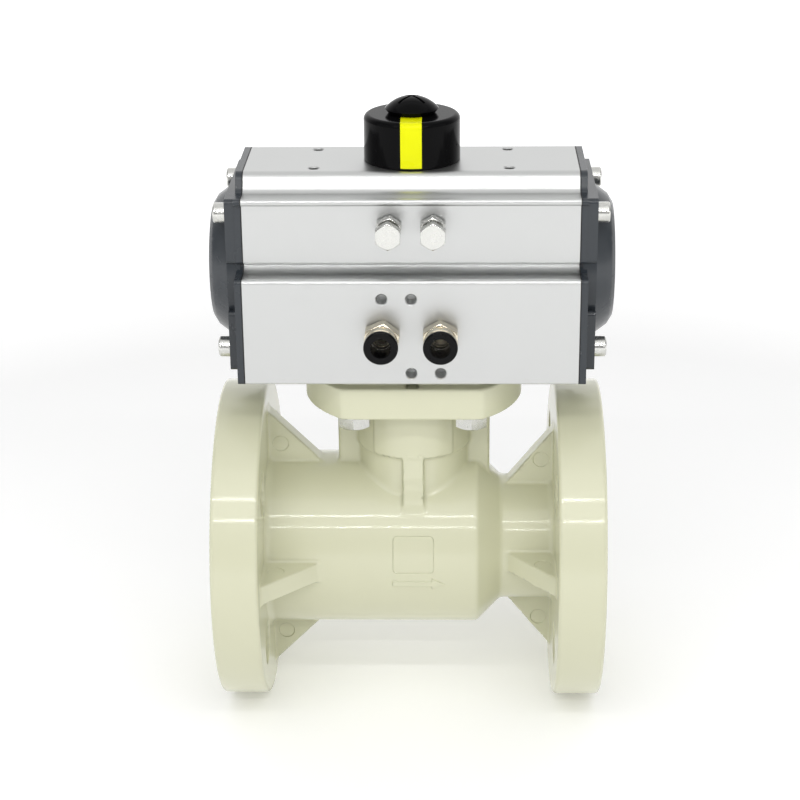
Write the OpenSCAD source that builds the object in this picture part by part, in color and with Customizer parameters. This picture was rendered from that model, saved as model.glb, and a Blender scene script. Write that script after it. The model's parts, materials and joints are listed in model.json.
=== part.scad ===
// Pneumatically actuated ball valve: one-piece flanged plastic body with a floating ball,
// and a double-acting rack-and-pinion actuator bolted on top. All lengths are millimetres.
// +X is the flow direction, +Z points up to the actuator, -Y is the actuator's port side.
// The origin is the centre of the inlet flange face, and the valve is drawn closed.

/* [Valve body] */
// Face-to-face length of the body
body_len = 165; // [155:1:210]
// Distance from the inlet face to the stem axis
stem_x = 84; // [80:0.5:90]
// Outside diameter of both flanges
flange_d = 140; // [136:1:180]
// Thickness of each flange
flange_t = 20; // [16:0.5:25]
// Bolt circle diameter of the flanges
flange_pcd = 100; // [96:1:112]
// Diameter of the flange bolt holes
flange_hole_d = 18; // [14:0.5:18.5]
// Wall around the ball chamber
body_wall = 11; // [8:0.5:14]
// Wall around the flow bore behind the outlet seat
neck_wall = 11.6; // [8:0.1:14]
// Thickness of the ribs, webs and gussets
rib_t = 9; // [5:0.5:10]

/* [Ball and seats] */
// Diameter of the ball
ball_d = 50; // [48:0.5:60]
// Diameter of the flow bore through ball, seats and body
bore_d = 32; // [25:0.5:33]
// Gap between the ball and the chamber wall
chamber_gap = 2; // [1.5:0.1:3]
// Thickness of each seat behind the ball
seat_t = 3.5; // [2.5:0.1:5]
// Running clearance between the ball and its seats
seat_clearance = 0.05; // [0.02:0.01:0.1]

/* [Stem and mounting plate] */
// Diameter of the stem
stem_d = 18; // [15:0.5:20]
// Width across flats of the stem's square end
square_w = 11; // [9:0.5:12]
// Height of the mounting plate's top face above the pipe axis
plate_z = 84; // [76:1:100]
// Thickness of the mounting plate
plate_t = 13.8; // [10:0.2:16]
// Diameter of the round mounting plate
plate_d = 93.4; // [92:0.2:100]
// Width of the plate across its two flats
plate_w = 73; // [70:1:84]
// Height of the raised pad between plate and actuator
pad_h = 4.7; // [2:0.1:8]
// Bolt circle of the actuator flange
mount_pcd = 70; // [70:1:74]

/* [Actuator] */
// Bore of the actuator cylinder
cyl_d = 54; // [50:1:65]
// Length of the actuator housing without its end caps
act_len = 137; // [135:1:170]
// Wall above the cylinder bore
wall_top = 16.5; // [14:0.5:20]
// Wall below the cylinder bore
wall_bottom = 13.8; // [13:0.1:20]
// Wall beside the cylinder bore in the upper half
wall_upper = 6; // [5:0.5:9]
// Wall beside the cylinder bore in the lower half, at the port face
wall_lower = 16; // [14:0.5:20]
// Height of the round dome on each end cap
dome_h = 8.1; // [6:0.1:14]

/* [Rack and pinion] */
// Gear module
gear_module = 1.25; // [1.2:0.05:1.3]
// Number of teeth on the pinion, an even number
pinion_teeth = 16; // [16:2:18]
// Play between the tooth flanks at the pitch line
backlash = 0.12; // [0.08:0.01:0.2]
// Height of the piston racks
rack_h = 18; // [12:1:20]
// Thickness of the piston heads
piston_t = 22; // [18:0.5:23]

/* [Indicator and fittings] */
// Diameter of the position indicator
indicator_d = 40; // [36:1:44]
// Height of the position indicator
indicator_h = 19.3; // [18:0.1:24]
// Width of the indicator's coloured stripe
stripe_w = 8.7; // [5:0.1:12]
// Distance between the two air ports
port_pitch = 24; // [22:1:28]
// Outside diameter of the air tube that the fittings take
tube_d = 8; // [6:0.5:8]
// How far the release rings can be pushed in
collet_travel = 1.2; // [0.5:0.1:1.5]

/* [Clearances] */
// Radial gap of running fits
run_gap = 0.05; // [0.02:0.01:0.09]
// Gap between pieces that are assembled and stay still
set_gap = 0.1; // [0.05:0.01:0.2]

/* [Hidden] */
fine = 96;    // segments of round shapes
arc_n = 6;    // steps of each outline arc
eps = 0.01;   // overrun of cuts

// Ball, chamber and seats
ball_r = ball_d / 2;
bore_r = bore_d / 2;
chamber_r = ball_r + chamber_gap;
body_r = chamber_r + body_wall;
neck_r = bore_r + neck_wall;
seat_r = chamber_r - 3;                                // outside radius of the seats
seat_land = 4;                                         // flat rim of a seat's ball side
seat_off = sqrt(pow(ball_r, 2) - pow(seat_r - seat_land, 2));
seat_lip = 0.8;                                        // seat bore minus flow bore, radius
ball_reach = sqrt(pow(ball_r, 2) - pow(bore_r + seat_lip, 2));
seat_len = ball_reach + seat_t - seat_off;             // whole length of a seat
seat_ring_sec = 1.4;                                   // section radius of the seat O-rings
seat_ring_r = (seat_r + bore_r) / 2;
seat_ring_depth = 2 * seat_ring_sec;
barrel_past_seat = 5.5;
barrel_end = stem_x + seat_off + seat_len + barrel_past_seat;
cone_len = body_r - neck_r;
retainer_x = 3;                                        // retainer front below the flange face
retainer_r = chamber_r - 2 * set_gap;                  // screwed in, with a thread's play
retainer_end = stem_x - seat_off;
retainer_ring_sec = 1.15;
retainer_ring_x = retainer_end - seat_len - 10;
retainer_slot_w = 6;                                   // cross slots for a spanner
retainer_slot_depth = 4;

// Flanges and ribs
flange_r = flange_d / 2;
flange_edge = 2;
flange_root = 3;                                       // bevel between flange and barrel
bevel_mid = 1 - sqrt(0.5);                             // middle step of a two-step bevel
inlet_rib_r = flange_r - 8.5;
outlet_rib_r = flange_r - 17;
inlet_rib_x = stem_x - 40.5;
outlet_rib_x = barrel_end + cone_len + 2.6;
mark_r = 3.5;                                          // ejector marks of the mould
mark_depth = 0.3;
rib_mark_in = 5.5;                                     // marks on the ribs, from the flange
inlet_mark_z = body_r + 8;
outlet_mark_z = neck_r + 11;

// Stem, from the ball upwards
stem_r = stem_d / 2;
slot_w = 9;
slot_depth = 6;
tang_gap = 0.1;
tang_z = ball_r - slot_depth + 0.2;                    // lower end of the stem
stem_flange_r = stem_r + 3;
stem_flange_z = ball_r + 0.3;
stem_flange_t = 5;
washer_t = 1.2;
stem_pocket_z = stem_flange_z + stem_flange_t + washer_t + set_gap;
stem_bore_r = stem_r + 0.3;
stem_ring_sec = 0.9;
stem_ring_z = [stem_pocket_z + 12, stem_pocket_z + 20];
bush_h = 12;
bush_r = stem_r + run_gap + 3;
bush_top = plate_z - 2;
square_len = 16;
socket_gap = 0.05;

// Neck, collar and mounting plate
plate_bottom = plate_z - plate_t;
neck_stem_r = stem_r + 14.6;                           // round neck under the plate
collar_r = neck_stem_r + 1.2;
collar_bottom = plate_bottom - 22.6;
collar_bevel = 2.2;
panel_w = 34;                                          // raised panel on the collar
panel_proud = 0.8;
web_w = 66;
web_mark_in = 5;                                       // marks on the web, from its edge
web_mark_drop = 9;                                     // and below the plate
gusset_out = 3.2;                                      // how far the gussets flare
gusset_z = 24;
pad_r = mount_pcd / 2 + 7;
pad_w = plate_w - 9;
vent_w = 5;
vent_wall = 1.5;                                       // left closed at the plate's front
bolt_r = 3.95;                                         // M8 actuator bolts
bolt_hole_r = 4.5;
bolt_head_w = 13;
bolt_head_h = 5.3;
bolt_chamfer = 0.8;
bolt_len = 30;
bolt_washer_r = 8;
bolt_washer_t = 1.6;
mount_off = mount_pcd / 2 * sqrt(0.5);
mount_tap_depth = 12;

// Marks on the barrel
label_w = 17.5;
label_h = 16.2;
label_z = 7.5;
label_depth = 0.5;
label_r = 2;
arrow_tail = 9;                                        // arrow's tail before the stem axis
arrow_len = 22.3;
arrow_z = -5.6;
arrow_bar = 2.4;
arrow_head = 5.4;
arrow_proud = 0.6;

// Actuator heights and outline
cyl_r = cyl_d / 2;
act_z = plate_z + pad_h;                               // underside of the actuator
cyl_z = act_z + wall_bottom + cyl_r;
act_top = cyl_z + cyl_r + wall_top;
act_h = act_top - act_z;
half_len = act_len / 2;
upper_w = cyl_r + wall_upper;                          // half-widths of the outline
lower_w = cyl_r + wall_lower;
waist_w = upper_w - 2.7;
lip_w = upper_w + 2.5;
crown_w = upper_w - 9.6;
crown_r = 4.2;
crown_tilt = 22;                                       // slope of the crown's side
cove_r = 3.6;
lip_r = 1.5;
ledge = 7.7;                                           // drop from the crown to the ledge
crown_run = (ledge - (crown_r + cove_r) * (1 - sin(crown_tilt))) * tan(crown_tilt);
waist = 35.4;                                          // drop from the crown to the waist
waist_r = 5;                                           // sweep from the waist to the shoulder
waist_tilt = 25;
waist_wall = 1;                                        // upright wall above the sweep
sweep_x = waist_w + waist_r * cos(waist_tilt);
sweep_z = -waist - waist_wall + waist_r * sin(waist_tilt);
shoulder = sweep_z - waist_r;
shoulder_r = 1.8;
corner_r = 0.8;

// End caps
gasket_t = 0.5;
cap_plate_t = 2.6;
cap_block_t = 4;
cap_block_w = upper_w - 0.3;
cap_block_top = 8.5;
cap_block_bottom = 2.2;
cap_block_r = 2;
cap_upper_boss = 36;                                   // inner ends of the screw bosses,
cap_lower_boss = 28;                                   // from the crown and from the underside
dome_base_r = cap_block_w - 0.5;
dome_face_r = dome_base_r - 6.5;
dome_edge_r = 5;
cap_wall = 4;
cap_hollow_r = cyl_r - 2;
cap_x = half_len + gasket_t;                           // inner face of a cap
cap_block_x = cap_x + cap_plate_t + cap_block_t;
dome_x = cap_block_x + dome_h;
cap_screw_y = upper_w - 6;
cap_screw_drop = 15.4;
cap_screw_rise = 11;
cap_screw_r = 2.45;                                    // M5 socket head screws
cap_hole_r = cap_screw_r + 0.25;
cap_socket_w = 4;
cap_socket_depth = 2.5;
cap_screw_head_r = 4.25;
cap_screw_head_h = 5;
cap_screw_grip = 15;

// Rack and pinion
pitch_r = gear_module * pinion_teeth / 2;
gear_tip_r = pitch_r + gear_module;
gear_root_r = pitch_r - 1.25 * gear_module;
rack_add = 0.88 * gear_module;
rack_ded = 1.16 * gear_module;
tooth_pitch = PI * gear_module;
pressure = 20;                                         // pressure angle
gear_h = rack_h + 4;
stroke = pitch_r * PI / 2;                             // piston travel for a quarter turn
rack_front = 5.65 * tooth_pitch;                       // rack tip past the pinion axis
piston_in = rack_front + 2.8;                          // inner face of a closed piston
piston_r = cyl_r - 0.4;
seal_r = cyl_r - run_gap;
guide_w = 4;
guide_depth = 1.6;
piston_ring_sec = 1.5;
piston_ring_x = 6;                                     // from the piston's inner face
guide_ring_x = 14;
piston_rim = 6;                                        // hollow in the outer face
piston_hub_r = 7;
piston_hollow = 4;
rack_guide_t = 1.5;
rack_guide_in = 6;                                     // its end inside the piston's head
rack_guide_l = piston_in + 8;

// Pinion shaft
shaft_r = 7;
journal_r = gear_tip_r + 0.75;
shaft_gap = 0.3;                                       // round the shaft, beyond its bushes
journal_top = cyl_z - cyl_r + 1.5;
pinion_z = act_z + 0.5;                                // bottom face of the pinion
bush_t = 2;
bottom_bush_z = [act_z + 3.3, act_z + 12.3];
top_bush_z = [act_top - 13.5, act_top - 6.5];
top_bush_r = shaft_r + run_gap + 2.95;
shaft_ring_sec = 0.85;
shaft_ring_z = act_top - 4;
journal_ring_z = act_z + 1.75;
cam_pocket_z = act_top - 14.5;                         // ceiling of the cam's pocket
cam_r = 14.5;
cam_gap = 1;
cam_h = 8;
cam_flat = shaft_r + 1.5;                              // stop faces from the pinion axis
cam_washer_t = 1.4;
cam_z = cam_pocket_z - cam_washer_t - cam_h - set_gap;
cam_key_w = 4;
cam_key_r = shaft_r + 2;
top_washer_t = 1.2;
snap_t = 1.2;
snap_groove = 0.7;
snap_out = 2;
snap_mouth = 4;
snap_z = act_top + set_gap + top_washer_t + set_gap;
spigot_r = 6;
spigot_z = snap_z + snap_t + 1;
spigot_top = act_top + 12;

// Travel stops
stop_pitch = 18;
stop_z = cam_z + cam_h / 2;
stop_r = 3;                                            // M6 adjusting screws
stop_flats = 10;
stop_nut_h = 5;
stop_nut_turn = [24, 31];                              // as the fitter left the two nuts
stop_chamfer = 0.8;
stop_head_h = 4;
stop_head_out = 14;                                    // head front beyond the housing side
stop_tip_gap = 0.05;
stop_seal_t = 1;
stop_seal_r = stop_r + 1.7;

// Ports and accessory holes
port_z = act_z + 20.8;
port_r = 4.85;
port_depth = 9;
air_r = 2;
duct_r = 2.2;
duct_y = lower_w - 6;
duct_z = port_z - 8;
solenoid_dz = 16;                                      // four M5 holes around the ports
solenoid_dx = 12;
tapped_r = 2.1;
tapped_depth = 7;
tapped_mouth = 2.6;
top_hole_x = 40;                                       // four M5 holes on the top face
top_hole_y = 15;

// Push-in air fittings, measured outwards from the port face
fit_seal_t = 0.8;
fit_hex_w = 14;
fit_hex_t = 6;
fit_chamfer = 0.7;
fit_collar_r = 7.4;
fit_collar_t = 4;
fit_thread_r = port_r - set_gap;
fit_thread_l = 7;
fit_bore_r = tube_d / 2 + 1.2;
fit_floor = fit_seal_t + 1;                            // bottom of the tube socket
fit_air_r = 2.5;
collet_flange_r = 7.05;
collet_flange_t = 1.9;
collet_sleeve_r = fit_bore_r - run_gap;
collet_sleeve_l = 5;
tube_r = tube_d / 2 + 0.05;
fit_face = fit_seal_t + fit_hex_t + fit_collar_t;      // front of the metal body
collet_back = fit_face + collet_travel + set_gap;      // back of the ring's flange

// Position indicator
indicator_r = indicator_d / 2;
indicator_z = act_top + 0.2;
indicator_edge = 2.4;
indicator_wall = 2.5;
indicator_hub_r = 8.5;
indicator_roof = spigot_top + 0.3;
stripe_t = 1.3;
stripe_low = 0.6;
dome_screw_r = 11.1;
dome_screw_rim = 2;
dome_screw_h = 7;
dome_slot_w = 1.3;
dome_slot_len = 15;
dome_slot_depth = 2.2;
dome_seat_r = dome_screw_r - 1.5;
screw_len = 12;

// ---- helpers ----

function arc(cx, cy, r, a0, a1) =
    [for (i = [0:arc_n]) let (a = a0 + (a1 - a0) * i / arc_n) [cx + r * cos(a), cy + r * sin(a)]];

function mirrored(points) =
    [for (i = [len(points) - 1:-1:0]) if (abs(points[i][0]) > eps) [-points[i][0], points[i][1]]];

module disc(r, h) {
    cylinder(r = r, h = h, $fn = fine);
}

module ring(r_out, r_in, h) {
    difference() {
        disc(r_out, h);
        translate([0, 0, -1]) disc(r_in, h + 2);
    }
}

module torus(r, section) {
    rotate_extrude($fn = fine) translate([r, 0]) circle(r = section, $fn = 32);
}

module hex(flats, h) {
    cylinder(d = flats / cos(30), h = h, $fn = 6);
}

// Hexagon with its corners cut by cones of the given heights, none where that is 0
module chamfered_hex(flats, h, low, high) {
    out = flats / 2 + 1.2;
    face = flats / 2 - 0.2;
    intersection() {
        hex(flats, h);
        rotate_extrude($fn = fine)
            polygon([[0, 0], [low > 0 ? face : out, 0], [out, low], [out, h - high],
                     [high > 0 ? face : out, h], [0, h]]);
    }
}

// Turns what is drawn along +Z to run along +X
module along_x() {
    rotate([0, 90, 0]) children();
}

// Turns what is drawn along +Z to run along -Y, out of the port side
module outwards() {
    rotate([90, 0, 0]) children();
}

// Revolves a (radius, x) outline about the X axis
module turned() {
    rotate([0, 90, 0]) rotate_extrude($fn = fine) children();
}

// Half section of a disc with a two-step bevel on both outer edges
module bevelled_disc_2d(r, t, edge) {
    mid = bevel_mid * edge;
    polygon([[0, 0], [r - edge, 0], [r - mid, mid], [r, edge],
             [r, t - edge], [r - mid, t - mid], [r - edge, t], [0, t]]);
}

module rounded_plate_2d(w, h, r) {
    square([w - 2 * r, h], center = true);
    square([w, h - 2 * r], center = true);
    for (x = [-1, 1], y = [-1, 1])
        translate([x * (w / 2 - r), y * (h / 2 - r)]) circle(r = r, $fn = 24);
}

module at_stem(z) {
    translate([stem_x, 0, z]) children();
}

// ---- valve body ----

// Two-step bevel in the corner between a flange face at x and a barrel of radius r
module flange_root_2d(r, x, dir) {
    mid = bevel_mid * flange_root;
    polygon([[r - 1, x - dir], [r + flange_root, x - dir], [r + flange_root, x],
             [r + mid, x + dir * mid], [r, x + dir * flange_root], [r - 1, x + dir * flange_root]]);
}

module body_outline_2d() {
    bevelled_disc_2d(flange_r, flange_t, flange_edge);
    translate([0, body_len - flange_t]) bevelled_disc_2d(flange_r, flange_t, flange_edge);
    square([body_r, barrel_end]);
    polygon([[0, barrel_end - eps], [body_r, barrel_end - eps], [body_r, barrel_end],
             [neck_r, barrel_end + cone_len], [0, barrel_end + cone_len]]);
    square([neck_r, body_len - 1]);
    flange_root_2d(body_r, flange_t, 1);
    flange_root_2d(neck_r, body_len - flange_t, -1);
}

module rib_2d(x0, r0, x1, r1) {
    step = x1 > x0 ? -1 : 1;
    polygon([[x0 + step, 0], [x0 + step, r0], [x0, r0], [x1, r1], [x1, 0]]);
}

module ribs() {
    for (a = [0:90:270]) rotate([a, 0, 0]) {
        difference() {
            rotate([90, 0, 0]) linear_extrude(rib_t, center = true) {
                rib_2d(flange_t, inlet_rib_r, inlet_rib_x, body_r);
                rib_2d(body_len - flange_t, outlet_rib_r, outlet_rib_x, neck_r);
            }
            for (s = [-1, 1]) translate([0, s * (rib_t / 2 - mark_depth), 0])
                rotate([-90 * s, 0, 0]) {
                    translate([flange_t + rib_mark_in, -s * inlet_mark_z, 0]) disc(mark_r, 1);
                    translate([body_len - flange_t - rib_mark_in, -s * outlet_mark_z, 0]) disc(mark_r, 1);
                }
        }
    }
}

module mounting_plate() {
    intersection() {
        at_stem(plate_bottom) disc(plate_d / 2, plate_t);
        at_stem(plate_bottom + plate_t / 2) cube([plate_d, plate_w, plate_t], center = true);
    }
    intersection() {
        at_stem(plate_z - 1) disc(pad_r, pad_h + 1);
        at_stem(plate_z + pad_h / 2) cube([2 * pad_r, pad_w, pad_h + 2], center = true);
    }
}

module gussets() {
    face = collar_r + panel_proud;
    for (s = [-1, 1]) at_stem(0) rotate([0, 0, s * 90]) rotate([90, 0, 0])
        linear_extrude(rib_t, center = true)
            polygon([[0, gusset_z], [face + gusset_out, gusset_z],
                     [face, collar_bottom], [face, collar_bottom + 1], [0, collar_bottom + 1]]);
    translate([stem_x - web_w / 2, -rib_t / 2, 0]) cube([web_w, rib_t, plate_bottom + 1]);
}

module neck() {
    at_stem(0) disc(neck_stem_r, plate_bottom + 1);
    at_stem(0) rotate_extrude($fn = fine)
        polygon([[0, collar_bottom - collar_bevel], [neck_stem_r, collar_bottom - collar_bevel],
                 [collar_r, collar_bottom], [collar_r, plate_bottom + 1], [0, plate_bottom + 1]]);
    intersection() {
        at_stem(collar_bottom) disc(collar_r + panel_proud, plate_bottom - collar_bottom + 1);
        translate([stem_x - panel_w / 2, -plate_w / 2, collar_bottom - 1])
            cube([panel_w, plate_w, plate_bottom - collar_bottom + 3]);
    }
}

module body_internals() {
    translate([-1, 0, 0]) along_x() disc(chamber_r, stem_x + seat_off + 1);
    translate([stem_x, 0, 0]) along_x() disc(seat_r + set_gap, seat_off + seat_len + set_gap);
    translate([stem_x + seat_off + seat_len, 0, 0]) along_x()
        ring(seat_ring_r + seat_ring_sec, seat_ring_r - seat_ring_sec, seat_ring_depth);
    along_x() disc(bore_r, body_len + 1);
    at_stem(0) disc(stem_flange_r + set_gap, stem_pocket_z);
    at_stem(0) disc(stem_bore_r, plate_z);
    at_stem(bush_top - bush_h) disc(bush_r, bush_h + plate_t);
}

module flange_holes() {
    for (a = [45:90:315]) rotate([a, 0, 0]) translate([-1, 0, flange_pcd / 2])
        along_x() disc(flange_hole_d / 2, body_len + 2);
}

module plate_holes() {
    for (x = [-1, 1], y = [-1, 1]) translate([stem_x + x * mount_off, y * mount_off, plate_bottom - 1])
        disc(bolt_hole_r, plate_t + pad_h + 2);
    at_stem(plate_z - 1) translate([-vent_w / 2, -plate_w / 2 + vent_wall, 0])
        cube([vent_w, plate_w / 2, pad_h + 2]);
}

module web_marks() {
    for (s = [-1, 1], side = [-1, 1])
        at_stem(plate_bottom - web_mark_drop)
            translate([s * (web_w / 2 - web_mark_in), side * (rib_t / 2 - mark_depth), 0])
                rotate([-90 * side, 0, 0]) disc(mark_r, 1);
}

module label_recess() {
    difference() {
        translate([stem_x, 0, label_z]) outwards()
            linear_extrude(body_r + 1) rounded_plate_2d(label_w, label_h, label_r);
        along_x() disc(body_r - label_depth, body_len);
    }
}

module flow_arrow() {
    intersection() {
        translate([stem_x - arrow_tail, 0, arrow_z]) outwards() linear_extrude(body_r + 5) {
            translate([0, -arrow_bar / 2]) square([arrow_len - arrow_head, arrow_bar]);
            polygon([[arrow_len - arrow_head, -arrow_head / 2], [arrow_len, 0],
                     [arrow_len - arrow_head, arrow_head / 2]]);
        }
        translate([flange_t, 0, 0]) along_x() ring(body_r + arrow_proud, body_r - 2, barrel_end);
    }
}

module valve_body() {
    color([0.80, 0.81, 0.69]) difference() {
        union() {
            turned() body_outline_2d();
            ribs();
            neck();
            gussets();
            mounting_plate();
            flow_arrow();
        }
        body_internals();
        flange_holes();
        plate_holes();
        web_marks();
        label_recess();
    }
}

// ---- ball and seats ----

module seat_retainer() {
    slot_l = 2 * chamber_r;
    color([0.78, 0.79, 0.67]) difference() {
        translate([retainer_x, 0, 0]) along_x() disc(retainer_r, retainer_end - retainer_x);
        along_x() disc(bore_r, body_len);
        translate([retainer_end - seat_len - set_gap, 0, 0]) along_x() disc(seat_r + set_gap, seat_len + 1);
        translate([retainer_end - seat_len - seat_ring_depth, 0, 0]) along_x()
            ring(seat_ring_r + seat_ring_sec, seat_ring_r - seat_ring_sec, seat_ring_depth);
        translate([retainer_ring_x - retainer_ring_sec - set_gap, 0, 0]) along_x()
            ring(chamber_r + 1, chamber_r - 2 * retainer_ring_sec, 2 * (retainer_ring_sec + set_gap));
        for (a = [0, 90]) rotate([a, 0, 0]) translate([retainer_x, 0, 0]) 
            cube([2 * retainer_slot_depth, slot_l, retainer_slot_w], center = true);
    }
}

module retainer_o_ring() {
    color("black") translate([retainer_ring_x, 0, 0]) along_x()
        torus(chamber_r - retainer_ring_sec, retainer_ring_sec);
}

module seat() {
    difference() {
        translate([seat_off, 0, 0]) along_x() ring(seat_r, bore_r + seat_lip, seat_len - set_gap);
        sphere(r = ball_r + seat_clearance, $fn = fine);
    }
}

module inlet_seat() {
    color("white") translate([stem_x, 0, 0]) mirror([1, 0, 0]) seat();
}

module outlet_seat() {
    color("white") translate([stem_x, 0, 0]) seat();
}

module seat_o_ring(side) {
    depth = seat_off + seat_len + seat_ring_depth - seat_ring_sec;
    translate([stem_x + side * depth, 0, 0]) along_x() torus(seat_ring_r, seat_ring_sec);
}

module inlet_seat_o_ring() {
    color("black") seat_o_ring(-1);
}

module outlet_seat_o_ring() {
    color("black") seat_o_ring(1);
}

module ball() {
    color([0.83, 0.84, 0.72]) at_stem(0) difference() {
        sphere(r = ball_r, $fn = fine);
        outwards() cylinder(r = bore_r, h = ball_d + 2, center = true, $fn = fine);
        translate([0, 0, ball_r]) cube([ball_d, slot_w, 2 * slot_depth], center = true);
    }
}

// ---- stem ----

module stem() {
    color([0.83, 0.84, 0.72]) at_stem(0) difference() {
        union() {
            intersection() {
                translate([0, 0, tang_z]) disc(stem_flange_r, 10);
                translate([-stem_flange_r, -slot_w / 2 + tang_gap / 2, tang_z])
                    cube([2 * stem_flange_r, slot_w - tang_gap, stem_flange_z - tang_z + 1]);
            }
            translate([0, 0, stem_flange_z]) disc(stem_flange_r, stem_flange_t);
            translate([0, 0, stem_flange_z]) disc(stem_r, plate_z - stem_flange_z);
            translate([-square_w / 2, -square_w / 2, plate_z - 1]) cube([square_w, square_w, square_len + 1]);
        }
        for (z = stem_ring_z) translate([0, 0, z - stem_ring_sec - set_gap])
            ring(stem_r + 1, stem_bore_r - 2 * stem_ring_sec, 2 * (stem_ring_sec + set_gap));
    }
}

module stem_o_rings() {
    color("black") for (z = stem_ring_z) at_stem(z)
        torus(stem_bore_r - stem_ring_sec - run_gap / 2, stem_ring_sec - run_gap / 2);
}

module stem_thrust_washer() {
    color("white") at_stem(stem_flange_z + stem_flange_t + set_gap / 2)
        ring(stem_flange_r, stem_r + run_gap, washer_t);
}

module stem_bush() {
    color([0.2, 0.2, 0.2]) at_stem(bush_top - bush_h) ring(bush_r, stem_r + run_gap, bush_h);
}

// ---- actuator mounting ----

module at_mount_holes(z) {
    for (x = [-1, 1], y = [-1, 1]) translate([stem_x + x * mount_off, y * mount_off, z]) children();
}

module mounting_bolts() {
    head_z = plate_bottom - bolt_washer_t;
    color("silver") at_mount_holes(head_z - bolt_head_h) {
        rotate([0, 0, 30]) chamfered_hex(bolt_head_w, bolt_head_h, bolt_chamfer, 0);
        disc(bolt_r, bolt_head_h + bolt_len);
    }
}

module mounting_washers() {
    color("silver") at_mount_holes(plate_bottom - bolt_washer_t)
        ring(bolt_washer_r, bolt_hole_r - 0.1, bolt_washer_t);
}

// ---- actuator housing ----

// Right half of the outline, from the middle of the top face down to the bottom face
function half_outline() = concat(
    [[0, 0]],
    arc(crown_w - crown_run / 2 - crown_r * cos(crown_tilt), -crown_r, crown_r, 90, crown_tilt),
    arc(crown_w + crown_run / 2 + cove_r * cos(crown_tilt), -ledge + cove_r, cove_r, 180 + crown_tilt, 270),
    arc(lip_w - lip_r, -ledge - lip_r, lip_r, 90, -90),
    [[upper_w, -ledge - 2 * lip_r]],
    arc(upper_w - corner_r, -waist + corner_r, corner_r, 0, -90),
    [[waist_w, -waist]],
    arc(sweep_x, sweep_z, waist_r, 180 + waist_tilt, 270),
    arc(lower_w - shoulder_r, shoulder - shoulder_r, shoulder_r, 90, 0),
    arc(lower_w - corner_r, -act_h + corner_r, corner_r, 0, -90),
    [[0, -act_h]]
);

module outline_2d() {
    polygon(concat(half_outline(), mirrored(half_outline())));
}

// Extrudes the actuator outline along X from x0, relative to the stem axis
module along_actuator(x0, length) {
    translate([stem_x + x0, 0, act_top]) rotate([90, 0, 90]) linear_extrude(length) children();
}

module at_cap_screws(x) {
    for (y = [-1, 1], z = [act_top - cap_screw_drop, act_z + cap_screw_rise])
        translate([stem_x + x, y * cap_screw_y, z]) children();
}

module tapped_hole() {
    translate([0, 0, -tapped_depth]) disc(tapped_r, tapped_depth + 1);
    translate([0, 0, tapped_r - tapped_mouth]) cylinder(r1 = tapped_r, r2 = tapped_mouth + 0.5,
        h = tapped_mouth - tapped_r + 0.5, $fn = fine);
}

module at_port(side) {
    translate([stem_x + side * port_pitch / 2, -lower_w, port_z]) outwards() children();
}

module air_passages() {
    for (side = [-1, 1]) at_port(side) translate([0, 0, -port_depth]) disc(port_r, port_depth + 1);
    // left port to the space between the pistons
    at_port(-1) translate([0, 0, -lower_w / 2]) disc(air_r, lower_w / 2);
    // right port to the duct that feeds both ends
    translate([stem_x + port_pitch / 2, -duct_y, duct_z]) disc(air_r, port_z - duct_z);
    translate([stem_x - half_len - 1, -duct_y, duct_z]) along_x() disc(duct_r, act_len + 2);
}

module solenoid_holes() {
    for (p = [[-1, 1], [0, 1], [0, -1], [1, -1]])
        translate([stem_x + p[0] * solenoid_dx, -lower_w, port_z + p[1] * solenoid_dz])
            outwards() tapped_hole();
}

module shaft_bores() {
    at_stem(act_z - 1) disc(journal_r + shaft_gap, wall_bottom + 2);
    at_stem(bottom_bush_z[0]) disc(journal_r + run_gap + bush_t, wall_bottom);
    at_stem(cyl_z) disc(cam_r + cam_gap, cam_pocket_z - cyl_z);
    at_stem(cyl_z) disc(top_bush_r, top_bush_z[1] - cyl_z);
    at_stem(cyl_z) disc(shaft_r + shaft_gap, cyl_r + wall_top + 1);
}

module actuator_housing() {
    color([0.78, 0.79, 0.78]) difference() {
        along_actuator(-half_len, act_len) outline_2d();
        translate([stem_x - half_len - 1, 0, cyl_z]) along_x() disc(cyl_r, act_len + 2);
        shaft_bores();
        air_passages();
        solenoid_holes();
        for (x = [-1, 1], y = [-1, 1])
            translate([stem_x + x * top_hole_x, y * top_hole_y, act_top]) tapped_hole();
        for (x = [-1, 1]) translate([stem_x + x * stop_pitch / 2, 0, stop_z])
            outwards() disc(stop_r + run_gap, upper_w + 1);
        at_mount_holes(act_z - 1) disc(bolt_r + run_gap, mount_tap_depth + 1);
        for (s = [-1, 1]) at_cap_screws(s * half_len) along_x()
            cylinder(r = cap_screw_r + run_gap, h = 2 * cap_screw_grip, center = true, $fn = fine);
    }
}

// ---- end caps, drawn for the +X end and mirrored for the other ----

module at_end(side) {
    translate([stem_x, 0, 0]) mirror([side < 0 ? 1 : 0, 0, 0]) translate([-stem_x, 0, 0]) children();
}

module duct_slot_2d() {
    translate([-duct_y - duct_r, duct_z - act_top - duct_r]) square([duct_y, 2 * duct_r]);
}

// Rounded block between two heights below the crown
module cap_boss_2d(top, bottom) {
    translate([0, -(top + bottom) / 2]) rounded_plate_2d(2 * cap_block_w, bottom - top, cap_block_r);
}

// Screw bosses across the top and the bottom, with the dome's round base between them
module cap_block_2d() {
    cap_boss_2d(cap_block_top, cap_upper_boss);
    cap_boss_2d(act_h - cap_lower_boss, act_h - cap_block_bottom);
    translate([0, cyl_z - act_top]) circle(r = dome_base_r, $fn = fine);
}

module cap_dome() {
    edge_x = dome_h - dome_edge_r * tan(22.5);
    translate([stem_x + cap_block_x, 0, cyl_z]) turned() {
        polygon([[0, -1], [dome_base_r, -1], [dome_base_r, 0],
                 [dome_face_r + dome_h - edge_x, edge_x], [dome_face_r - 1.2, dome_h], [0, dome_h]]);
    }
}

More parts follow.
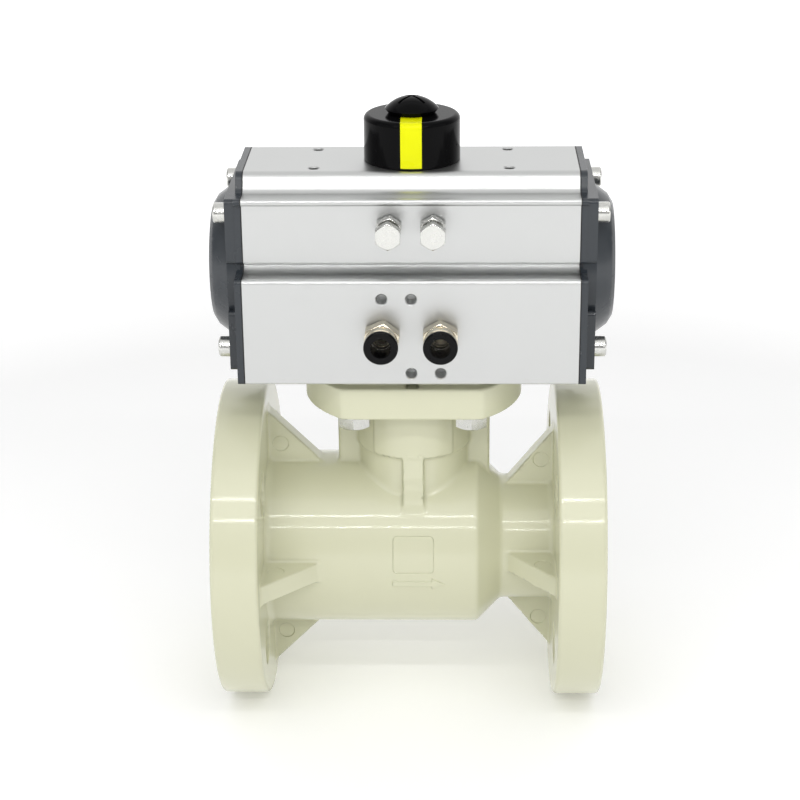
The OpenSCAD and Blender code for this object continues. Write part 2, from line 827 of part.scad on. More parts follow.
module end_cap() {
    difference() {
        union() {
            along_actuator(cap_x, cap_plate_t) outline_2d();
            along_actuator(cap_x + 1, cap_block_x - cap_x - 1) cap_block_2d();
            cap_dome();
        }
        translate([stem_x + cap_x - 1, 0, cyl_z]) along_x()
            disc(cap_hollow_r, dome_x - cap_x - cap_wall + 1);
        along_actuator(cap_x - 1, 2) intersection() {
            duct_slot_2d();
            outline_2d();
        }
        at_cap_screws(cap_x - 1) along_x() disc(cap_hole_r, cap_block_x);
    }
}

module cap_gasket() {
    along_actuator(half_len, gasket_t) difference() {
        outline_2d();
        translate([0, cyl_z - act_top]) circle(r = cyl_r, $fn = fine);
        duct_slot_2d();
        for (y = [-1, 1], z = [-cap_screw_drop, cap_screw_rise - act_h])
            translate([y * cap_screw_y, z]) circle(r = cap_hole_r, $fn = fine);
    }
}

module cap_screw() {
    difference() {
        union() {
            disc(cap_screw_head_r, cap_screw_head_h);
            translate([0, 0, -(cap_block_x - half_len) - cap_screw_grip + 1])
                disc(cap_screw_r, cap_block_x - half_len + cap_screw_grip - 1);
        }
        translate([0, 0, cap_screw_head_h - cap_socket_depth]) hex(cap_socket_w, cap_socket_depth + 1);
        rotate_extrude($fn = fine) polygon([[cap_screw_head_r - 0.6, cap_screw_head_h + eps],
            [cap_screw_head_r + 1, cap_screw_head_h + eps], [cap_screw_head_r + 1, cap_screw_head_h - 1.6]]);
    }
}

module cap_screws() {
    at_cap_screws(cap_block_x) along_x() cap_screw();
}

module left_end_cap() {
    color([0.28, 0.31, 0.35]) at_end(-1) end_cap();
}

module right_end_cap() {
    color([0.28, 0.31, 0.35]) end_cap();
}

module left_cap_gasket() {
    color([0.1, 0.1, 0.1]) at_end(-1) cap_gasket();
}

module right_cap_gasket() {
    color([0.1, 0.1, 0.1]) cap_gasket();
}

module left_cap_screws() {
    color("silver") at_end(-1) cap_screws();
}

module right_cap_screws() {
    color("silver") cap_screws();
}

// ---- pinion ----

function inv(a) = tan(a) * 180 / PI - a;

// Half the angle of a pinion tooth at radius r
function half_tooth(r) =
    (PI * gear_module / 2 - backlash) / (2 * pitch_r) * 180 / PI + inv(pressure)
    - inv(acos(pitch_r * cos(pressure) / r));

module pinion_gear_2d() {
    base_r = pitch_r * cos(pressure) + eps;
    steps = 6;
    radii = [for (i = [0:steps]) base_r + (gear_tip_r - base_r) * i / steps];
    polygon([
        for (k = [0:pinion_teeth - 1]) let (c = (k + 0.5) * 360 / pinion_teeth) each concat(
            [gear_root_r * [cos(c - half_tooth(base_r)), sin(c - half_tooth(base_r))]],
            [for (r = radii) r * [cos(c - half_tooth(r)), sin(c - half_tooth(r))]],
            [for (i = [steps:-1:0]) let (r = radii[i]) r * [cos(c + half_tooth(r)), sin(c + half_tooth(r))]],
            [gear_root_r * [cos(c + half_tooth(base_r)), sin(c + half_tooth(base_r))]]
        )
    ]);
}

module pinion() {
    color([0.62, 0.63, 0.65]) at_stem(0) difference() {
        union() {
            translate([0, 0, pinion_z]) disc(journal_r, journal_top - pinion_z);
            translate([0, 0, journal_top - 1]) disc(gear_root_r - 0.4, cyl_z - journal_top);
            translate([0, 0, cyl_z - gear_h / 2]) linear_extrude(gear_h) pinion_gear_2d();
            translate([0, 0, cyl_z]) disc(shaft_r, snap_z + snap_t + 1 - cyl_z);
            translate([0, 0, cyl_z]) disc(spigot_r, spigot_top - cyl_z);
            translate([0, -cam_key_w / 2, cam_z]) cube([cam_key_r, cam_key_w, cam_h]);
        }
        translate([-square_w / 2 - socket_gap, -square_w / 2 - socket_gap, pinion_z - 1])
            cube([square_w + 2 * socket_gap, square_w + 2 * socket_gap, plate_z + square_len - pinion_z + 3]);
        translate([0, 0, journal_ring_z - shaft_ring_sec - set_gap])
            ring(journal_r + 1, journal_r + shaft_gap - 2 * shaft_ring_sec, 2 * (shaft_ring_sec + set_gap));
        translate([0, 0, shaft_ring_z - shaft_ring_sec - set_gap])
            ring(shaft_r + 1, shaft_r + shaft_gap - 2 * shaft_ring_sec, 2 * (shaft_ring_sec + set_gap));
        translate([0, 0, snap_z]) ring(shaft_r + 1, shaft_r - snap_groove, snap_t);
        translate([0, 0, act_top]) disc(stop_r + run_gap, spigot_top - act_top + 1);
    }
}

// Quadrant cam: its two flats meet the stop bolts a quarter turn apart
module travel_stop_cam() {
    color([0.5, 0.5, 0.52]) at_stem(cam_z) difference() {
        disc(cam_r, cam_h);
        for (a = [180, 225, 270]) rotate([0, 0, a])
            translate([cam_flat, -cam_r - 1, -1]) cube([cam_r, 2 * cam_r + 2, cam_h + 2]);
        translate([0, 0, -1]) disc(shaft_r + run_gap, cam_h + 2);
        translate([0, -cam_key_w / 2 - run_gap, -1])
            cube([cam_key_r + run_gap, cam_key_w + 2 * run_gap, cam_h + 2]);
    }
}

module cam_thrust_washer() {
    color("ivory") at_stem(cam_pocket_z - cam_washer_t - set_gap / 2)
        ring(cam_r - 0.5, shaft_r + run_gap, cam_washer_t);
}

module pinion_top_bush() {
    color("ivory") at_stem(top_bush_z[0]) ring(top_bush_r, shaft_r + run_gap, top_bush_z[1] - top_bush_z[0]);
}

module pinion_bottom_bush() {
    color("ivory") at_stem(bottom_bush_z[0])
        ring(journal_r + run_gap + bush_t, journal_r + run_gap, bottom_bush_z[1] - bottom_bush_z[0]);
}

module shaft_o_ring(r) {
    torus(r + shaft_gap - shaft_ring_sec - run_gap / 2, shaft_ring_sec - run_gap / 2);
}

module pinion_top_o_ring() {
    color("black") at_stem(shaft_ring_z) shaft_o_ring(shaft_r);
}

module pinion_bottom_o_ring() {
    color("black") at_stem(journal_ring_z) shaft_o_ring(journal_r);
}

module top_thrust_washer() {
    color("ivory") at_stem(act_top + set_gap) ring(shaft_r + 4, shaft_r + run_gap, top_washer_t);
}

module snap_ring() {
    color("silver") at_stem(snap_z) difference() {
        ring(shaft_r + snap_out, shaft_r - snap_groove + run_gap, snap_t);
        translate([0, -snap_mouth / 2, -1]) cube([shaft_r + snap_out + 1, snap_mouth, snap_t + 2]);
    }
}

// ---- pistons, drawn for the -X side and turned half a circle for the other ----

module at_pinion_axis(side) {
    translate([stem_x, 0, cyl_z]) rotate([0, 0, side > 0 ? 180 : 0]) children();
}

// Teeth on a bar, in the plane of the pinion, with a tooth centred on the pinion axis
module rack_2d() {
    half = tooth_pitch / 4;
    slope = tan(pressure);
    tip = half - rack_add * slope;
    foot = half + rack_ded * slope;
    union() {
        translate([-piston_in - 1, pitch_r + rack_ded]) square([piston_in + 1 + rack_front, cyl_r]);
        for (k = [-2:5]) translate([k * tooth_pitch, pitch_r])
            polygon([[-tip, -rack_add], [tip, -rack_add], [foot, rack_ded],
                     [foot, rack_ded + eps], [-foot, rack_ded + eps], [-foot, rack_ded]]);
    }
}

module rack_arm() {
    intersection() {
        translate([0, 0, -rack_h / 2]) linear_extrude(rack_h) rack_2d();
        translate([-piston_in - 1, 0, 0]) along_x() disc(piston_r, piston_in + rack_front + 2);
    }
}

module piston() {
    difference() {
        union() {
            translate([-piston_in - piston_t, 0, 0]) along_x() disc(piston_r, piston_t);
            rack_arm();
        }
        translate([-piston_in - piston_ring_x - piston_ring_sec - set_gap, 0, 0]) along_x()
            ring(cyl_r + 1, seal_r - 2 * piston_ring_sec, 2 * (piston_ring_sec + set_gap));
        translate([-piston_in - guide_ring_x - guide_w, 0, 0]) along_x()
            ring(cyl_r + 1, seal_r - guide_depth, guide_w);
        translate([-piston_in - piston_t - 1, 0, 0]) along_x()
            ring(cyl_r - piston_rim, piston_hub_r, piston_hollow + 1);
        rack_guide(cyl_r + 1);
    }
}

// Strip on the back of the rack that slides on the cylinder, out to radius r
module rack_guide(r) {
    translate([-piston_in + rack_guide_in, 0, 0]) intersection() {
        along_x() ring(r, seal_r - rack_guide_t, rack_guide_l);
        translate([0, 0, -rack_h / 4]) cube([rack_guide_l, cyl_r + 2, rack_h / 2]);
    }
}

module piston_o_ring() {
    translate([-piston_in - piston_ring_x, 0, 0]) along_x() torus(seal_r - piston_ring_sec, piston_ring_sec);
}

module guide_ring() {
    translate([-piston_in - guide_ring_x - guide_w, 0, 0]) along_x() ring(seal_r, seal_r - guide_depth, guide_w);
}

module left_piston() {
    color([0.72, 0.73, 0.75]) at_pinion_axis(-1) piston();
}

module right_piston() {
    color([0.72, 0.73, 0.75]) at_pinion_axis(1) piston();
}

module left_piston_o_ring() {
    color("black") at_pinion_axis(-1) piston_o_ring();
}

module right_piston_o_ring() {
    color("black") at_pinion_axis(1) piston_o_ring();
}

module left_guide_ring() {
    color("ivory") at_pinion_axis(-1) guide_ring();
}

module right_guide_ring() {
    color("ivory") at_pinion_axis(1) guide_ring();
}

module left_rack_guide() {
    color("ivory") at_pinion_axis(-1) rack_guide(seal_r);
}

module right_rack_guide() {
    color("ivory") at_pinion_axis(1) rack_guide(seal_r);
}

// ---- travel stops ----

module stop_bolt(side) {
    reach = upper_w + stop_head_out;
    tip = cam_flat + stop_tip_gap;
    translate([stem_x + side * stop_pitch / 2, 0, stop_z]) outwards() {
        translate([0, 0, tip]) disc(stop_r, reach - tip);
        translate([0, 0, reach - stop_head_h]) rotate([0, 0, 30])
            chamfered_hex(stop_flats, stop_head_h, 0, stop_chamfer);
    }
}

module closed_stop_bolt() {
    color("silver") stop_bolt(1);
}

module open_stop_bolt() {
    color("silver") stop_bolt(-1);
}

module stop_lock_nuts() {
    color("silver") for (side = [-1, 1])
        translate([stem_x + side * stop_pitch / 2, -upper_w - stop_seal_t, stop_z]) outwards() difference() {
            rotate([0, 0, side < 0 ? stop_nut_turn[0] : stop_nut_turn[1]])
                chamfered_hex(stop_flats, stop_nut_h, 0, stop_chamfer);
            translate([0, 0, -1]) disc(stop_r + run_gap, stop_nut_h + 2);
        }
}

module stop_bolt_seals() {
    color("black") for (side = [-1, 1])
        translate([stem_x + side * stop_pitch / 2, -upper_w, stop_z])
            outwards() ring(stop_seal_r, stop_r + run_gap, stop_seal_t);
}

// ---- position indicator ----

module indicator_outline_2d() {
    square([indicator_r - indicator_edge, indicator_h]);
    square([indicator_r, indicator_h - indicator_edge]);
    translate([indicator_r - indicator_edge, indicator_h - indicator_edge])
        circle(r = indicator_edge, $fn = 32);
}

module indicator_hollow() {
    roof = indicator_roof - indicator_z;
    translate([0, 0, -1]) difference() {
        disc(indicator_r - indicator_wall, roof - 1);
        translate([0, 0, spigot_z - indicator_z + 1]) disc(indicator_hub_r, roof);
    }
    disc(spigot_r + run_gap, roof);
    disc(stop_r + run_gap, indicator_h + 1);
}

module stripe_band() {
    translate([-stripe_w / 2, -indicator_r - 1, stripe_low])
        cube([stripe_w, 2 * indicator_r + 2, indicator_h]);
}

// The layer just under the indicator's outer surface, where the stripe lies
module stripe_skin() {
    difference() {
        rotate_extrude($fn = fine) indicator_outline_2d();
        translate([0, 0, -1]) disc(indicator_r - stripe_t, indicator_h + 1 - stripe_t);
        translate([0, 0, indicator_h - 2 * stripe_t]) disc(dome_seat_r, 2 * stripe_t + 1);
    }
}

module indicator_cap() {
    color([0.05, 0.05, 0.05]) at_stem(indicator_z) difference() {
        rotate_extrude($fn = fine) indicator_outline_2d();
        indicator_hollow();
        intersection() {
            stripe_skin();
            stripe_band();
        }
    }
}

module indicator_stripe() {
    color("yellow") at_stem(indicator_z) intersection() {
        stripe_skin();
        stripe_band();
    }
}

module indicator_screw() {
    head_z = indicator_z + indicator_h;
    dome_r = (pow(dome_screw_r, 2) + pow(dome_screw_h - dome_screw_rim, 2))
        / (2 * (dome_screw_h - dome_screw_rim));
    color([0.07, 0.07, 0.07]) at_stem(head_z) difference() {
        union() {
            intersection() {
                rotate_extrude($fn = fine) polygon([[0, 0], [dome_seat_r, 0],
                    [dome_screw_r, dome_screw_rim], [dome_screw_r, dome_screw_h], [0, dome_screw_h]]);
                translate([0, 0, dome_screw_h - dome_r]) sphere(r = dome_r, $fn = fine);
            }
            translate([0, 0, -screw_len]) disc(stop_r, screw_len + 1);
        }
        for (a = [45, 135]) rotate([0, 0, a]) translate([0, 0, dome_screw_h])
            cube([dome_slot_len, dome_slot_w, 2 * dome_slot_depth], center = true);
    }
}

// ---- air fittings ----

module air_fitting(side, turn) {
    at_port(side) difference() {
        union() {
            translate([0, 0, -fit_thread_l]) disc(fit_thread_r, fit_thread_l + fit_seal_t + 1);
            translate([0, 0, fit_seal_t]) rotate([0, 0, turn])
                chamfered_hex(fit_hex_w, fit_hex_t, fit_chamfer, fit_chamfer);
            translate([0, 0, fit_seal_t]) rotate_extrude($fn = fine)
                polygon([[0, 0], [fit_hex_w / 2 - 0.3, 0], [fit_hex_w / 2 - 0.3, fit_hex_t],
                         [fit_collar_r - 0.5, fit_hex_t + 0.6], [fit_collar_r - 0.5, fit_face - fit_seal_t - 0.6],
                         [fit_collar_r - 1.1, fit_face - fit_seal_t], [0, fit_face - fit_seal_t]]);
        }
        translate([0, 0, -fit_thread_l - 1]) disc(fit_air_r, fit_face + fit_thread_l + 2);
        translate([0, 0, fit_floor]) disc(fit_bore_r, fit_face);
    }
}

module air_fitting_a() {
    color([0.80, 0.77, 0.66]) air_fitting(-1, 23);
}

module air_fitting_b() {
    color([0.80, 0.77, 0.66]) air_fitting(1, 31);
}

module collet(side) {
    sleeve = collet_sleeve_l + collet_travel;
    at_port(side) translate([0, 0, collet_back]) difference() {
        union() {
            rotate_extrude($fn = fine)
                polygon([[0, 0], [collet_flange_r, 0], [collet_flange_r, collet_flange_t - 0.5],
                         [collet_flange_r - 0.5, collet_flange_t], [0, collet_flange_t]]);
            translate([0, 0, -sleeve]) disc(collet_sleeve_r, sleeve + 1);
        }
        translate([0, 0, -sleeve - 1]) disc(tube_r, sleeve + collet_flange_t + 2);
    }
}

module collet_a() {
    color([0.06, 0.06, 0.06]) collet(-1);
}

module collet_b() {
    color([0.06, 0.06, 0.06]) collet(1);
}

module fitting_seals() {
    color("black") for (side = [-1, 1]) at_port(side) ring(fit_hex_w / 2 - 0.4, port_r, fit_seal_t);
}

module grab_rings() {
    color("silver") for (side = [-1, 1]) at_port(side)
        translate([0, 0, fit_floor + 1.4]) ring(fit_bore_r, tube_r, 0.5);
}

module tube_o_rings() {
    color("black") for (side = [-1, 1]) at_port(side)
        translate([0, 0, fit_floor + 0.7]) torus(fit_bore_r - 0.6, 0.6);
}

// ---- assembly ----

valve_body();
seat_retainer();
retainer_o_ring();
inlet_seat();
outlet_seat();
inlet_seat_o_ring();
outlet_seat_o_ring();
ball();
stem();
stem_o_rings();
stem_thrust_washer();
stem_bush();
mounting_bolts();
mounting_washers();
actuator_housing();
left_end_cap();
right_end_cap();
left_cap_gasket();
right_cap_gasket();
left_cap_screws();
right_cap_screws();
pinion();
travel_stop_cam();
cam_thrust_washer();
pinion_top_bush();
pinion_bottom_bush();
pinion_top_o_ring();
pinion_bottom_o_ring();
top_thrust_washer();
snap_ring();
left_piston();
right_piston();
left_piston_o_ring();
right_piston_o_ring();
left_guide_ring();
right_guide_ring();
left_rack_guide();
right_rack_guide();
closed_stop_bolt();
open_stop_bolt();
stop_lock_nuts();
stop_bolt_seals();
indicator_cap();
indicator_stripe();
indicator_screw();
air_fitting_a();
air_fitting_b();
collet_a();
collet_b();
fitting_seals();
grab_rings();
tube_o_rings();
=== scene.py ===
"""Looks of a pneumatically actuated flanged ball valve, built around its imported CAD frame.

The moulded plastic body is rebuilt as one skin with the fillets of a real moulding. Every other
piece keeps its CAD shape and gets softened edges, clean normals and a procedural material.
"""

import json
import math

import bmesh
import bpy
import numpy as np
from mathutils import Matrix, Vector


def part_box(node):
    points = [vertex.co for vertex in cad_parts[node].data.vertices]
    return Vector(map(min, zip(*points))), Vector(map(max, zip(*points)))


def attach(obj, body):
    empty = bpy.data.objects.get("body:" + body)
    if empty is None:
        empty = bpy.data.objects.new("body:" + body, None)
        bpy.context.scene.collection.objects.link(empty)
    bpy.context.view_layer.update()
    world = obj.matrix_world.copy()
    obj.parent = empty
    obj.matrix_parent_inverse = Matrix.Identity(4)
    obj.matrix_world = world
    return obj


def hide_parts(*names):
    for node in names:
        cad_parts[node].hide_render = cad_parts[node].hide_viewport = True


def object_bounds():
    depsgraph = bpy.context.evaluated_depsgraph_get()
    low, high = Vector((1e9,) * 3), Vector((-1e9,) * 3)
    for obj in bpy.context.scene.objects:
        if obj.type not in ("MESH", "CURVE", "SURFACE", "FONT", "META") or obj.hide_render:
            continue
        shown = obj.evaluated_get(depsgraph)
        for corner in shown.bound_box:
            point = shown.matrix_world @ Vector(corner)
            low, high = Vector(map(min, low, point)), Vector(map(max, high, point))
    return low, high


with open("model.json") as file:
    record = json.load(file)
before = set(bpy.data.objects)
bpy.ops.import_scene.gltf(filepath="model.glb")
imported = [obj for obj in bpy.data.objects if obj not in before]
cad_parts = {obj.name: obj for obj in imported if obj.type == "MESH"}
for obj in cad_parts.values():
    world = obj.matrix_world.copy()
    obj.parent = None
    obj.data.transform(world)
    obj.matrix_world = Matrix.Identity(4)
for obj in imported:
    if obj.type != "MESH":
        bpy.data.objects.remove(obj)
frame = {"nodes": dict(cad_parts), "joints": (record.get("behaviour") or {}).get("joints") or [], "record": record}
cad_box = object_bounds()
NODES = frame["nodes"]
MM = 0.001

# ---------------------------------------------------------------- sizes of the body, millimetres


def joint_axis_x():
    """Where the stem axis crosses the flow line."""
    turn = next(j for j in frame["joints"] if j["child"] == "pinion")
    return turn["pos_m"][0] / MM


BODY_LOW, BODY_HIGH = (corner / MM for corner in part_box("valve_body"))
BODY_LEN = BODY_HIGH.x
FLANGE_R = -BODY_LOW.z
PAD_TOP = BODY_HIGH.z
STEM_X = joint_axis_x()
FLANGE_T = 20.0
FLANGE_ROOT = 3.0
FLANGE_PCD_R = 50.0
FLANGE_HOLE_R = 9.0
BARREL_R = 38.0
NECK_R = 27.6
BARREL_END = 111.5
RIB_T = 9.0
INLET_RIB = ((FLANGE_T, FLANGE_R - 8.5), (STEM_X - 40.5, BARREL_R))
OUTLET_RIB = ((BODY_LEN - FLANGE_T, FLANGE_R - 17.0), (124.5, NECK_R))
STEM_NECK_R = 23.6
COLLAR_R = 24.8
COLLAR_LOW = 47.6
PANEL_PROUD = 0.8
PANEL_W = 34.0
GUSSET_LOW = 24.0
GUSSET_FLARE = 3.2
WEB_W = 66.0
PLATE_LOW, PLATE_TOP = 70.2, 84.0
PLATE_R, PLATE_W = 46.7, 73.0
PAD_R, PAD_W = 42.0, 64.0
BOLT_OFF, BOLT_HOLE_R = 24.75, 4.5
VENT_W = 5.0
CHAMBER_R, CHAMBER_END = 27.0, 99.0
POCKET_R, POCKET_END = 24.1, 106.1
BORE_R = 16.0
STEM_BORES = ((12.1, 0.0, 31.6), (9.3, 0.0, 90.0), (12.05, 70.0, 95.0))
LABEL_W, LABEL_H, LABEL_Z, LABEL_DEPTH = 17.5, 16.2, 7.5, 0.5
ARROW_LEN, ARROW_Z, ARROW_BAR, ARROW_HEAD, ARROW_PROUD = 22.3, -5.6, 2.4, 5.4, 0.6
ARROW_START = STEM_X - 9.0
MARK_R, MARK_DEPTH = 3.5, 0.3
RIB_MARKS = ((FLANGE_T + 5.5, BARREL_R + 8.0), (BODY_LEN - FLANGE_T - 5.5, NECK_R + 11.0))
WEB_MARK = (WEB_W / 2 - 5.0, PLATE_LOW - 9.0)
TOWER_SINK = 3.0
PAD_SINK = 5.0
HOLE_PAST = 1.0
VENT_WALL = 1.5
ARROW_ROOT = 2.0

# Rounding of each part's own edges, and of the corner where it joins the rest

RIB_EDGE, RIB_FILLET = 0.5, 1.2
PIPE_EDGE, PIPE_FILLET = 0.8, 1.0
FLANGE_EDGE = 1.6
COLLAR_EDGE, COLLAR_FILLET = 0.6, 0.6
PANEL_EDGE, PANEL_FILLET = 0.5, 0.4
GUSSET_EDGE, GUSSET_FILLET = 0.7, 0.8
WEB_EDGE, WEB_FILLET = 1.0, 1.2
PLATE_CORNER, PLATE_EDGE, PLATE_FILLET = 1.0, 0.8, 1.2
PAD_CORNER, PAD_EDGE, PAD_FILLET = 1.0, 0.5, 0.6
TOWER_FILLET = 1.6
ARROW_EDGE, ARROW_FILLET = 0.3, 0.3
LABEL_CORNER, LABEL_EDGE = 2.0, 0.25
MARK_EDGE, HOLE_EDGE, BORE_EDGE, POCKET_FILLET = 0.15, 0.6, 0.8, 0.3

# ---------------------------------------------------------------- signed distance of the body


def join(a, b, radius):
    """Union of two distances with a round fillet in the corner between them."""
    u = np.maximum(radius - a, 0)
    v = np.maximum(radius - b, 0)
    return np.maximum(radius, np.minimum(a, b)) - np.sqrt(u * u + v * v)


def meet(a, b, radius):
    """Intersection of two distances with a rounded edge."""
    u = np.maximum(radius + a, 0)
    v = np.maximum(radius + b, 0)
    return np.minimum(-radius, np.maximum(a, b)) + np.sqrt(u * u + v * v)


def between(value, low, high):
    """Distance of a slab."""
    return np.abs(value - (low + high) / 2) - (high - low) / 2


def past_line(x, y, start, end):
    """Distance beyond the line from start to end, positive on its left-hand side."""
    dx, dy = end[0] - start[0], end[1] - start[1]
    return ((y - start[1]) * dx - (x - start[0]) * dy) / math.hypot(dx, dy)


def rib_pair(x, across, height, ends):
    """Two ribs, on opposite sides of the pipe, down from a flange to the pipe."""
    (x0, h0), (x1, h1) = ends
    mid = x0 + (FLANGE_T / 2 if x0 > x1 else -FLANGE_T / 2)
    low, high = sorted((mid, x1 + (x1 - x0)))
    slope = past_line(x, height, (x0, h0), (x1, h1)) * (1 if x1 > x0 else -1)
    tip = np.maximum(slope, height - h0)
    side = np.maximum(np.abs(across) - RIB_T / 2, between(x, low, high))
    return meet(side, tip, RIB_EDGE)


def pipe(x, r):
    """Barrel, its cone and the narrower neck behind it."""
    cone = ((x - BARREL_END) + (r - BARREL_R)) * math.sqrt(0.5)
    barrel = meet(r - BARREL_R, cone, PIPE_EDGE)
    inside_flanges = between(x, FLANGE_T / 2, BODY_LEN - FLANGE_T / 2)
    return np.maximum(join(barrel, r - NECK_R, PIPE_FILLET), inside_flanges)


def flanges(x, r):
    """The round flanges at both ends."""
    inlet = meet(between(x, 0, FLANGE_T), r - FLANGE_R, FLANGE_EDGE)
    outlet = meet(between(x, BODY_LEN - FLANGE_T, BODY_LEN), r - FLANGE_R, FLANGE_EDGE)
    return np.minimum(inlet, outlet)


def stem_tower(x, y, z, q):
    """Neck, collar with its two raised panels, gussets and web below the mounting plate."""
    sx = x - STEM_X
    top = PLATE_LOW + TOWER_SINK
    neck = np.maximum(q - STEM_NECK_R, between(z, 0, top))
    bevel = (COLLAR_LOW - z + q - COLLAR_R) * math.sqrt(0.5)
    collar = np.maximum(meet(q - COLLAR_R, bevel, COLLAR_EDGE), z - PLATE_LOW - TOWER_SINK)
    tower = join(neck, collar, COLLAR_FILLET)
    panel = meet(q - COLLAR_R - PANEL_PROUD, np.abs(sx) - PANEL_W / 2, PANEL_EDGE)
    tower = join(tower, meet(panel, between(z, COLLAR_LOW, top), PANEL_EDGE), PANEL_FILLET)
    face = COLLAR_R + PANEL_PROUD
    gusset = past_line(z, np.abs(y), (GUSSET_LOW, face + GUSSET_FLARE), (COLLAR_LOW, face))
    gusset = np.maximum(gusset, between(z, GUSSET_LOW, COLLAR_LOW + 1))
    gusset = meet(gusset, np.abs(sx) - RIB_T / 2, GUSSET_EDGE)
    web = meet(np.abs(y) - RIB_T / 2, np.abs(sx) - WEB_W / 2, WEB_EDGE)
    web = np.maximum(web, between(z, 0, top))
    return join(join(tower, gusset, GUSSET_FILLET), web, WEB_FILLET)


def mounting_plate(y, z, q):
    """The plate that carries the actuator, with its raised pad."""
    plate = meet(q - PLATE_R, np.abs(y) - PLATE_W / 2, PLATE_CORNER)
    plate = meet(plate, between(z, PLATE_LOW, PLATE_TOP), PLATE_EDGE)
    pad = meet(q - PAD_R, np.abs(y) - PAD_W / 2, PAD_CORNER)
    pad = meet(pad, between(z, PLATE_LOW + PAD_SINK, PAD_TOP), PAD_EDGE)
    return join(plate, pad, PAD_FILLET)


def bores(x, z, r, q):
    """The ball chamber, the seat pocket, the flow bore and the stem's bores."""
    chamber = np.maximum(r - CHAMBER_R, x - CHAMBER_END)
    pocket = np.maximum(r - POCKET_R, x - POCKET_END)
    cut = np.minimum(join(chamber, pocket, POCKET_FILLET), r - BORE_R)
    for radius, low, high in STEM_BORES:
        cut = np.minimum(cut, np.maximum(q - radius, between(z, low, high)))
    return cut


def small_holes(x, y, z):
    """Flange holes, actuator bolt holes and the vent slot under the actuator."""
    off = FLANGE_PCD_R * math.sqrt(0.5)
    cut = np.hypot(np.abs(y) - off, np.abs(z) - off) - FLANGE_HOLE_R
    bolts = np.hypot(np.abs(x - STEM_X) - BOLT_OFF, np.abs(y) - BOLT_OFF) - BOLT_HOLE_R
    cut = np.minimum(cut, np.maximum(bolts, PLATE_LOW - PAD_SINK - z))
    vent = np.maximum(np.abs(x - STEM_X) - VENT_W / 2, between(y, VENT_WALL - PLATE_W / 2, 0))
    return np.minimum(cut, np.maximum(vent, PLATE_TOP - HOLE_PAST - z))


def ejector_marks(x, y, z):
    """Shallow round marks that the mould's pins leave on the ribs and the web."""
    cut = None
    for across, height in ((y, np.abs(z)), (z, np.abs(y))):
        skin = RIB_T / 2 - MARK_DEPTH - np.abs(across)
        for cx, ch in RIB_MARKS:
            mark = np.maximum(np.hypot(x - cx, height - ch) - MARK_R, skin)
            cut = mark if cut is None else np.minimum(cut, mark)
    skin = RIB_T / 2 - MARK_DEPTH - np.abs(y)
    web = np.hypot(np.abs(x - STEM_X) - WEB_MARK[0], z - WEB_MARK[1]) - MARK_R
    return np.minimum(cut, np.maximum(web, skin))


def label_pad(x, y, z, r):
    """Recess for a label on the front of the barrel."""
    u = np.abs(x - STEM_X) - LABEL_W / 2
    v = np.abs(z - LABEL_Z) - LABEL_H / 2
    return np.maximum(meet(u, v, LABEL_CORNER), np.maximum(BARREL_R - LABEL_DEPTH - r, y))


def flow_arrow(x, y, z, r):
    """Raised arrow below the label, pointing along the flow."""
    tip = ARROW_START + ARROW_LEN
    shaft = between(x, ARROW_START, tip - ARROW_HEAD / 2)
    bar = np.maximum(shaft, np.abs(z - ARROW_Z) - ARROW_BAR / 2)
    head = np.maximum((np.abs(z - ARROW_Z) * 2 + x - tip) / math.sqrt(5), tip - ARROW_HEAD - x)
    raised = meet(np.minimum(bar, head), r - BARREL_R - ARROW_PROUD, ARROW_EDGE)
    return np.maximum(raised, np.maximum(y, BARREL_R - ARROW_ROOT - r))


def body_distance(x, y, z):
    """Distance to the moulded body's surface, negative inside."""
    r = np.hypot(y, z)
    q = np.hypot(x - STEM_X, y)
    solid = join(pipe(x, r), flanges(x, r), FLANGE_ROOT)
    for across, height in ((y, np.abs(z)), (z, np.abs(y))):
        for ends in (INLET_RIB, OUTLET_RIB):
            solid = join(solid, rib_pair(x, across, height, ends), RIB_FILLET)
    solid = join(solid, stem_tower(x, y, z, q), TOWER_FILLET)
    solid = join(solid, mounting_plate(y, z, q), PLATE_FILLET)
    solid = join(solid, flow_arrow(x, y, z, r), ARROW_FILLET)
    solid = meet(solid, -label_pad(x, y, z, r), LABEL_EDGE)
    solid = meet(solid, -ejector_marks(x, y, z), MARK_EDGE)
    solid = meet(solid, -small_holes(x, y, z), HOLE_EDGE)
    return meet(solid, -bores(x, z, r, q), BORE_EDGE)


# ---------------------------------------------------------------- from a distance to a mesh

BODY_STEP, QUICK_STEP = 1.1, 1.6
SETTLE_ROUNDS, RELAX_ROUNDS, DETAIL_ROUNDS, DETAIL_SPLITS = 2, 4, 1, 2
SLOPE_REACH, NORMAL_REACH = 0.05, 0.02
LEAST_SLOPE, MOST_MOVE = 0.2, 0.6


def grid_axes(low, high, step):
    """Evenly spaced points along each axis, from just before the box to just past it."""
    spans = zip(low, high)
    return [np.arange(a - 1.5 * step, b + 2.5 * step, step, dtype=np.float32) for a, b in spans]


def edge_crossings(field, axis):
    """Index of each grid edge along an axis that the surface crosses, and how far along it."""
    along = np.moveaxis(field, axis, 0)
    first, second = along[:-1], along[1:]
    hit = np.nonzero((first < 0) != (second < 0))
    share = first[hit] / (first[hit] - second[hit])
    return np.array(hit), share, first[hit] < 0


